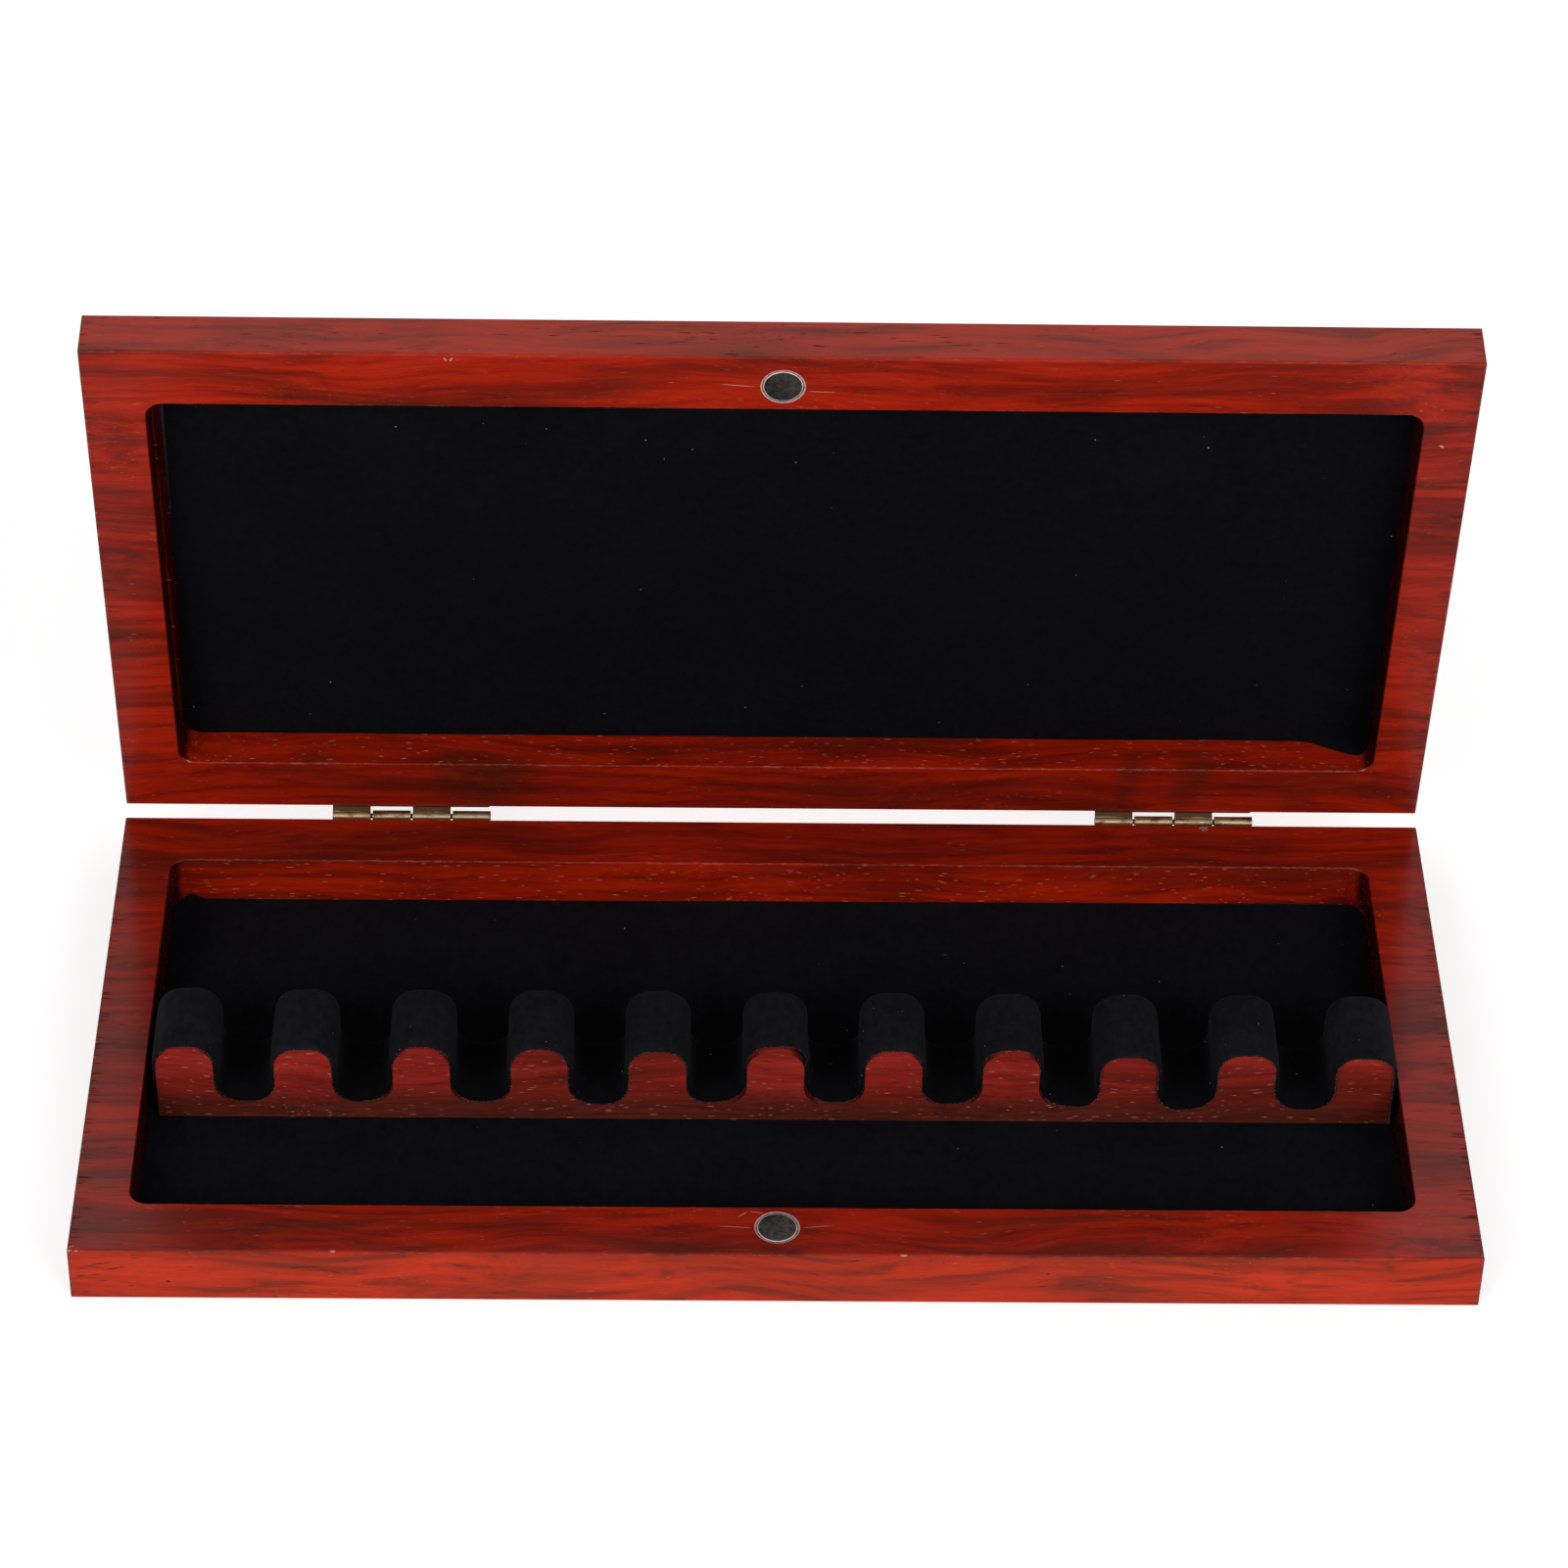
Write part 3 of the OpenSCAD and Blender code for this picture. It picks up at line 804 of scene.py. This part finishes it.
def cloth_slab(name, rows, pile_material, backing_material):
    """A closed sheet from rows of (backing point, pile point) pairs.

    The cut edges show the backing next to what the cloth is glued to and the pile above it.
    """
    mesh = bpy.data.meshes.new(name)
    build = bmesh.new()
    row_count = len(rows)
    column_count = len(rows[0])
    under = [[build.verts.new(back) for back, _ in row] for row in rows]
    over = [[build.verts.new(pile) for _, pile in row] for row in rows]

    def grid(points, flip):
        """Faces between neighbouring points."""
        for i in range(row_count - 1):
            for j in range(column_count - 1):
                corners = [points[i][j], points[i + 1][j], points[i + 1][j + 1], points[i][j + 1]]
                face = build.faces.new(corners[::-1] if flip else corners)
                face.material_index = 1 if flip else 0

    grid(over, False)
    grid(under, True)
    border = [(0, j) for j in range(column_count)]
    border += [(i, column_count - 1) for i in range(1, row_count)]
    border += [(row_count - 1, j) for j in range(column_count - 2, -1, -1)]
    border += [(i, 0) for i in range(row_count - 2, 0, -1)]
    seam = {}
    for i, j in border:
        seam[i, j] = build.verts.new(under[i][j].co.lerp(over[i][j].co, BACKING_SHARE))
    for here, there in zip(border, border[1:] + border[:1]):
        (a, b), (c, d) = here, there
        low = build.faces.new([under[a][b], under[c][d], seam[there], seam[here]])
        low.material_index = 1
        build.faces.new([seam[here], seam[there], over[c][d], over[a][b]])
    bmesh.ops.recalc_face_normals(build, faces=build.faces)
    for face in build.faces:
        face.smooth = True
    build.to_mesh(mesh)
    build.free()
    mesh.materials.append(pile_material)
    mesh.materials.append(backing_material)
    piece = bpy.data.objects.new(name, mesh)
    bpy.context.scene.collection.objects.link(piece)
    return piece


def spread(length, step, ends):
    """Shares from 0 to 1 that step along a length, with extra ones crowded into its last ends metres."""
    crowd = [ends * (1 - math.cos(math.pi / 2 * k / 6)) for k in range(6)]
    count = max(2, round((length - 2 * ends) / step))
    middle = [ends + (length - 2 * ends) * k / count for k in range(count + 1)]
    whole = crowd + middle + [length - c for c in reversed(crowd)]
    return [w / length for w in whole]


def smooth(value):
    """Smooth step from 0 at 0 to 1 at 1."""
    value = min(1.0, max(0.0, value))
    return value * value * (3 - 2 * value)


def lining(name, low, high, up, carry, ruffle, taper, materials):
    """Velvet glued to a pocket floor.

    low and high are the lining's corners when the case is shut, and up is 1 if the pile faces +Z.
    ruffle(x, y) is how far the cloth stands off its floor, taper is how much further right its left
    edge starts at the front than at the back, and carry takes a point to the rest pose.
    """
    thickness = high.z - low.z
    floor_z = low.z if up > 0 else high.z
    middle = (low + high) / 2
    half_x = (high.x - low.x) / 2
    half_y = (high.y - low.y) / 2
    rows = []
    for share_y in spread(2 * half_y, LINING_STEP, LINING_ROUND):
        y = half_y * (2 * share_y - 1)
        past = max(0.0, abs(y) - (half_y - LINING_ROUND))
        inset = LINING_ROUND - math.sqrt(LINING_ROUND**2 - past**2)
        row = []
        for share_x in spread(2 * half_x, LINING_STEP, LINING_ROUND):
            x = half_x * (2 * share_x - 1)
            place_x = middle.x + x * (half_x - inset) / half_x
            place_y = middle.y + y
            to_edge = min(half_x - abs(x), half_y - abs(y))
            fray = noise.noise(Vector((place_x, place_y, 0.3)) * 160) * FRAY
            stand = max(0.0, ruffle(place_x, place_y))
            pile = thickness * (0.80 + 0.20 * smooth(to_edge / (2.0 * MM)))
            pile += noise.noise(Vector((place_x, place_y, 1.0)) * 45) * LINING_SWELL
            pull = 1 - smooth(to_edge / (3.0 * MM))
            spot_x = place_x - math.copysign(abs(fray) * pull, x)
            spot_x -= taper * y / (2 * half_y) * smooth(0.5 - x / (2 * half_x))
            spot_y = place_y - math.copysign(abs(fray) * pull, y)
            back = Vector((spot_x, spot_y, floor_z + up * stand))
            row.append((carry @ back, carry @ (back + Vector((0, 0, up * pile)))))
        rows.append(row)
    return cloth_slab(name, rows, *materials)


def rack_path(post_x, groove_x, half_post, half_groove, height, step):
    """Points of the rack's top outline from its left foot to its right foot, each with the way out."""
    path = []

    def straight(start, end, out):
        """Adds points along a line, without its end."""
        count = max(1, round((end - start).length / step))
        for k in range(count):
            path.append((start.lerp(end, k / count), out))

    def arc(centre, radius, start, end, way):
        """Adds points along an arc, without its end. way is 1 if out is away from the centre."""
        count = max(3, round(abs(end - start) * radius / step))
        for k in range(count):
            angle = start + (end - start) * k / count
            ray = Vector((math.cos(angle), math.sin(angle)))
            path.append((centre + ray * radius, ray * way))

    left, right, up = Vector((-1, 0)), Vector((1, 0)), Vector((0, 1))
    shoulder = height - POST_ROUND
    knee = GROOVE_FLOOR + GROOVE_ROUND
    for i, x in enumerate(post_x):
        foot = 0.0 if i == 0 else knee
        straight(Vector((x - half_post, foot)), Vector((x - half_post, shoulder)), left)
        arc(Vector((x - half_post + POST_ROUND, shoulder)), POST_ROUND, math.pi, math.pi / 2, 1)
        inner = half_post - POST_ROUND
        straight(Vector((x - inner, height)), Vector((x + inner, height)), up)
        arc(Vector((x + half_post - POST_ROUND, shoulder)), POST_ROUND, math.pi / 2, 0, 1)
        if i == len(post_x) - 1:
            straight(Vector((x + half_post, shoulder)), Vector((x + half_post, 0)), right)
            path.append((Vector((x + half_post, 0)), right))
            return path
        straight(Vector((x + half_post, shoulder)), Vector((x + half_post, knee)), right)
        middle = groove_x[i]
        flat = half_groove - GROOVE_ROUND
        arc(Vector((middle - flat, knee)), GROOVE_ROUND, math.pi, 1.5 * math.pi, -1)
        straight(Vector((middle - flat, GROOVE_FLOOR)), Vector((middle + flat, GROOVE_FLOOR)), up)
        arc(Vector((middle + flat, knee)), GROOVE_ROUND, 1.5 * math.pi, 2 * math.pi, -1)
    return path


def path_length(path):
    """Length of the line through the path's points."""
    return sum((there[0] - here[0]).length for here, there in zip(path, path[1:]))


def along_posts(values, share):
    """Value at a share of the way from the first post to the last."""
    spot = min(max(share, 0.0), 1.0) * (len(values) - 1)
    left = min(int(spot), len(values) - 2)
    ease = smooth(spot - left)
    return values[left] * (1 - ease) + values[left + 1] * ease


def rack_cover(rack, cover, materials):
    """Velvet strip glued over the posts and down into the grooves. Returns it and its flat size."""
    low, high = rack
    thickness = cover[1].z - high.z
    pitch = (high.x - low.x - POST_WIDTH) / PEN_COUNT
    first = low.x + POST_WIDTH / 2
    post_x = [first + i * pitch for i in range(PEN_COUNT + 1)]
    groove_x = [first + (i + 0.5) * pitch for i in range(PEN_COUNT)]
    height = high.z - low.z
    path = rack_path(post_x, groove_x, POST_WIDTH / 2, (pitch - POST_WIDTH) / 2, height, PILE_STEP)
    depth = high.y - low.y
    shares = spread(depth, DEPTH_STEP, DEPTH_STEP)
    rows = []
    for point, out in path:
        way = Vector((out.x, 0, out.y))
        setback = along_posts(STRIP_SETBACK, (point.x - first) / (post_x[-1] - first))
        post = round((point.x - first) / pitch)
        side, rise = STRIP_LIFTS.get(post, (0.0, 0.0))
        off = (point.x - post_x[post]) / (POST_WIDTH / 2) - side
        if point.y < height - POST_ROUND:
            rise = 0.0
        row = []
        for share in shares:
            y = low.y + setback + share * (depth - setback)
            to_front = share * (depth - setback)
            to_edge = min(to_front, depth - setback - to_front)
            spot = Vector((point.x, y, point.y))
            lift = STRIP_GLUE + rise * smooth(1 - abs(off) * 1.6) * smooth(1 - to_front / (9 * MM))
            curl = noise.noise(spot * 110) * STRIP_CURL * (1 - smooth(to_edge / (4 * MM)))
            swell = noise.noise(spot * 240 + Vector((7, 0, 0))) * STRIP_SWELL
            pile = thickness * (0.74 + 0.26 * smooth(to_edge / (1.3 * MM))) - STRIP_GLUE + swell
            sway = noise.noise(Vector((point.x * 90, point.y * 90, y))) * STRIP_SWAY
            place = Vector((point.x, y + sway * (1 - smooth(to_edge / (2.4 * MM))), low.z + point.y))
            back = place + way * (lift + max(0.0, curl))
            row.append((back, back + way * pile))
        rows.append(row)
    piece = cloth_slab("rack_velvet_cloth", rows, *materials)
    return piece, (depth, path_length(path))


# ---- Small pieces -----------------------------------------------------------


def glue_bead(name, centre, spans, drop, material):
    """Squeezed-out bead of glue that lies on the back arris and runs down its far side."""
    build = bmesh.new()
    bmesh.ops.create_icosphere(build, subdivisions=4, radius=1.0)
    for vert in build.verts:
        ripple = 1 + 0.16 * noise.noise(vert.co * 1.9)
        x, y, z = vert.co * ripple
        sink = drop * smooth(y) * smooth(abs(y))
        vert.co = centre + Vector((x * spans[0], y * spans[1], z * spans[2] - sink))
    for face in build.faces:
        face.smooth = True
    mesh = bpy.data.meshes.new(name)
    build.to_mesh(mesh)
    build.free()
    mesh.materials.append(material)
    piece = bpy.data.objects.new(name, mesh)
    bpy.context.scene.collection.objects.link(piece)
    return piece


# ---- Studio -----------------------------------------------------------------


def studio_floor(material):
    """A floor that runs far past the view in every direction, and that gloss doesn't pick up."""
    build = bmesh.new()
    bmesh.ops.create_grid(build, x_segments=4, y_segments=4, size=30.0)
    mesh = bpy.data.meshes.new("studio_floor")
    build.to_mesh(mesh)
    build.free()
    mesh.materials.append(material)
    floor = bpy.data.objects.new("studio_floor", mesh)
    bpy.context.scene.collection.objects.link(floor)
    floor.visible_glossy = False


def soft_box(name, place, size, glow):
    """A panel of size metres that faces the case and glows as bright as glow."""
    light = bpy.data.lights.new(name, "AREA")
    light.shape = "RECTANGLE"
    light.size, light.size_y = size
    light.energy = glow * math.pi * size[0] * size[1]
    lamp = bpy.data.objects.new(name, light)
    bpy.context.scene.collection.objects.link(lamp)
    lamp.location = place
    lamp.rotation_euler = (Vector((0.0, 0.0, 0.05)) - Vector(place)).to_track_quat("-Z", "Y").to_euler()


def studio_light():
    """An even pale sky, two soft boxes in front and a dim panel behind."""
    world = bpy.data.worlds.new("studio")
    world.use_nodes = True
    sky = world.node_tree.nodes["Background"]
    sky.inputs["Color"].default_value = (1.0, 1.0, 1.0, 1.0)
    sky.inputs["Strength"].default_value = 0.25
    bpy.context.scene.world = world
    soft_box("left_front", (-1.2, -1.6, 1.25), (1.2, 1.0), 3.9)
    soft_box("right_front", (1.2, -1.6, 1.25), (1.2, 1.0), 3.9)
    soft_box("back_top", (0.0, 1.15, 1.75), (3.2, 1.3), 0.5)
    bpy.context.scene.view_settings.view_transform = "Standard"


def studio_camera():
    """The camera, aimed and rolled by the constants above."""
    lens = bpy.data.cameras.new("camera")
    lens.lens = CAMERA_LENS
    lens.sensor_width = 36.0
    lens.clip_start = 0.05
    lens.clip_end = 100.0
    camera = bpy.data.objects.new("camera", lens)
    bpy.context.scene.collection.objects.link(camera)
    back = Vector(
        (
            math.sin(CAMERA_AZIMUTH) * math.cos(CAMERA_ELEVATION),
            -math.cos(CAMERA_AZIMUTH) * math.cos(CAMERA_ELEVATION),
            math.sin(CAMERA_ELEVATION),
        )
    )
    camera.location = CAMERA_AIM + back * CAMERA_DISTANCE
    aimed = (-back).to_track_quat("-Z", "Y").to_matrix().to_4x4()
    rolled = aimed @ Matrix.Rotation(CAMERA_ROLL, 4, "Z")
    camera.rotation_euler = rolled.to_euler()
    bpy.context.scene.camera = camera


# ---- Main -------------------------------------------------------------------


class Case:
    """The CAD frame's nodes, its hinge and the boxes that the looks are built round."""

    def __init__(self, frame):
        self.nodes = frame["nodes"]
        self.hinge = frame["joints"][0]
        self.still = Matrix.Identity(4)
        self.shut = closed_from_rest(self.hinge)
        self.opened = self.shut.inverted()
        shutting = math.radians(self.hinge["range_deg"][0])
        self.lid_turn = (self.hinge["pos_m"], shutting, self.hinge["axis"])
        self.base = self.box("base_tray")
        self.lid = self.box("lid_tray", self.shut)
        self.base_lining = self.box("base_lining_velvet")
        self.lid_lining = self.box("lid_lining_velvet", self.shut)
        self.rack = self.box("pen_rack")

    def box(self, node, matrix=Matrix.Identity(4)):
        """Corners of a node carried through matrix."""
        return node_box(self.nodes[node], matrix)

    def dress(self, node, material):
        """Gives a CAD node that material."""
        materials = self.nodes[node].data.materials
        materials.clear()
        materials.append(material)


def dress_wood(case):
    """Puts rosewood on both trays and the rack."""
    edge = Vector((LINING_GAP, LINING_GAP, 0))
    lid_edge = Vector((LID_LEFT_GAP, LINING_GAP, 0))
    base_board = Board(*case.base, seed=3.0, lightness=1.0).routed(
        (case.base_lining[0] - edge, case.base_lining[1] + edge),
        case.base[1].z,
        BASE_SMOKE,
        BASE_KNOTS,
        BASE_SCRATCHES,
        BASE_SPLITS,
    )
    lid_board = Board(*case.lid, seed=11.0, lightness=0.92, turn=case.lid_turn).routed(
        (case.lid_lining[0] - lid_edge, case.lid_lining[1] + edge),
        case.lid[0].z,
        LID_SMOKE,
        LID_KNOTS,
        LID_SCRATCHES,
        LID_SPLITS,
    )
    rack_board = Board(*case.rack, seed=23.0, lightness=1.02)
    foot = (case.rack[0].z + 9.0 * MM, case.rack[0].z + 18.0 * MM)
    case.dress("base_tray", rosewood("base_rosewood", base_board, TRAY_TONES))
    case.dress("lid_tray", rosewood("lid_rosewood", lid_board, TRAY_TONES))
    case.dress("pen_rack", rosewood("rack_rosewood", rack_board, RACK_TONES, dust=1.0, foot=foot))


def glue_linings(case, backing):
    """Lays the velvet in both trays."""
    base_low, base_high = case.base_lining
    lid_low, lid_high = case.lid_lining

    def base_ruffle(x, y):
        """Gentle waves, a bump at the back left and a back edge that rises to the right."""
        wave = noise.noise(Vector((x, y, 0.0)) * 22) * 0.10 * MM
        back = y - base_high.y
        corner = smooth(1 - abs(x - base_low.x - 5 * MM) / (4 * MM)) * smooth((back + 4 * MM) / (4 * MM))
        to_right = (x - base_low.x) / (base_high.x - base_low.x)
        back_edge = smooth((back + 3 * MM) / (3 * MM)) * smooth(to_right)
        return wave + 1.9 * MM * corner + 1.0 * MM * back_edge

    def lid_ruffle(x, y):
        """Gentle waves, a loose edge by the hinges and a lifted corner at its right."""
        wave = noise.noise(Vector((x, y, 4.0)) * 20) * 0.05 * MM
        hinge_side = smooth((y - lid_high.y + 5 * MM) / (5 * MM))
        along = 0.5 + 0.5 * noise.noise(Vector((x * 17, 2.0, 0.0)))
        corner = smooth((x - lid_high.x + 22 * MM) / (21 * MM))
        return wave + hinge_side * (0.4 * MM * along + 6.0 * MM * corner)

    # The base's pile colour holds painted light and the lid's pile colour holds painted shade.
    base_cloth = (velvet("base_velvet_pile", BASE_PILE_LIT, 7 * MM, 5.0), backing)
    lid_cloth = (velvet("lid_velvet_pile", LID_PILE_SHADED, 7 * MM, 6.0), backing)
    base = lining("base_velvet_cloth", base_low, base_high, 1, case.still, base_ruffle, 0.0, base_cloth)
    lid = lining("lid_velvet_cloth", lid_low, lid_high, -1, case.opened, lid_ruffle, LID_TAPER, lid_cloth)
    for piece, half, (low, high) in ((base, "base", case.base_lining), (lid, "lid", case.lid_lining)):
        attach(piece, half)
        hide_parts(f"{half}_lining_velvet")


def glue_strip(case, backing):
    """Lays the velvet strip over the rack. Its pile is painted darker down in the grooves, as painted
    shade.
    """
    low, high = case.rack
    groove_shade_heights = (low.z + GROOVE_FLOOR + 2 * MM, high.z - 3 * MM)
    cloth = (velvet("rack_velvet_pile", RACK_PILE, 3.5 * MM, 9.0, groove_shade_heights), backing)
    cover, flat = rack_cover(case.rack, case.box("rack_velvet"), cloth)
    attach(cover, "base")
    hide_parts("rack_velvet")


def drop_glue(case):
    """Leaves a bead of glue on the back rim, beside the middle of the right hinge."""
    low, high = case.box("right_hinge_base_leaf")
    rim = case.base[1]
    centre = Vector(((low.x + high.x) / 2 + 8.6 * MM, rim.y - 1.5 * MM, rim.z - 0.20 * MM))
    spans = (1.8 * MM, 2.0 * MM, 0.29 * MM)
    bead = glue_bead("hinge_glue_bead", centre, spans, 0.9 * MM, dried_glue("dried_glue"))
    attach(bead, "base")


def dress_hinges(case):
    """Puts brass on the leaves and screws and steel on the pins."""
    axis = case.hinge["pos_m"]
    knuckle = (case.box("right_hinge_base_leaf")[1].z - axis[2]) * 1.02
    brass = antique_brass("antique_brass", *HINGE_BRASS, 2.0, axis, knuckle)
    screw_brass = antique_brass("screw_brass", *SCREW_BRASS, 7.0)
    steel = pin_steel("pin_steel")
    for side in ("left", "right"):
        case.dress(f"{side}_hinge_pin", steel)
        for half in ("base", "lid"):
            case.dress(f"{side}_hinge_{half}_leaf", brass)
            case.dress(f"{side}_hinge_{half}_screws", screw_brass)


def dress_magnets(case):
    """Puts nickel on the magnets and glue in the rings round them."""
    for half, turn, matrix in (("base", None, case.still), ("lid", case.lid_turn, case.shut)):
        disc = case.box(f"{half}_magnet", matrix)
        ring = case.box(f"{half}_magnet_glue", matrix)
        case.dress(f"{half}_magnet", magnet_plate(f"{half}_magnet_plate", *disc, turn))
        case.dress(f"{half}_magnet_glue", dried_glue(f"{half}_magnet_glue", ring, turn))


def main():
    """Dresses the case, lights it and sets up the camera."""
    case = Case(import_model())
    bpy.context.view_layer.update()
    dress_wood(case)
    backing = cloth_backing("velvet_backing")
    glue_linings(case, backing)
    glue_strip(case, backing)
    drop_glue(case)
    dress_hinges(case)
    dress_magnets(case)
    card = charcoal_card("charcoal_card")
    for half in ("base", "lid"):
        case.dress(f"{half}_lining_card", card)

    studio_floor(pale_floor("pale_floor"))
    studio_light()
    studio_camera()


main()
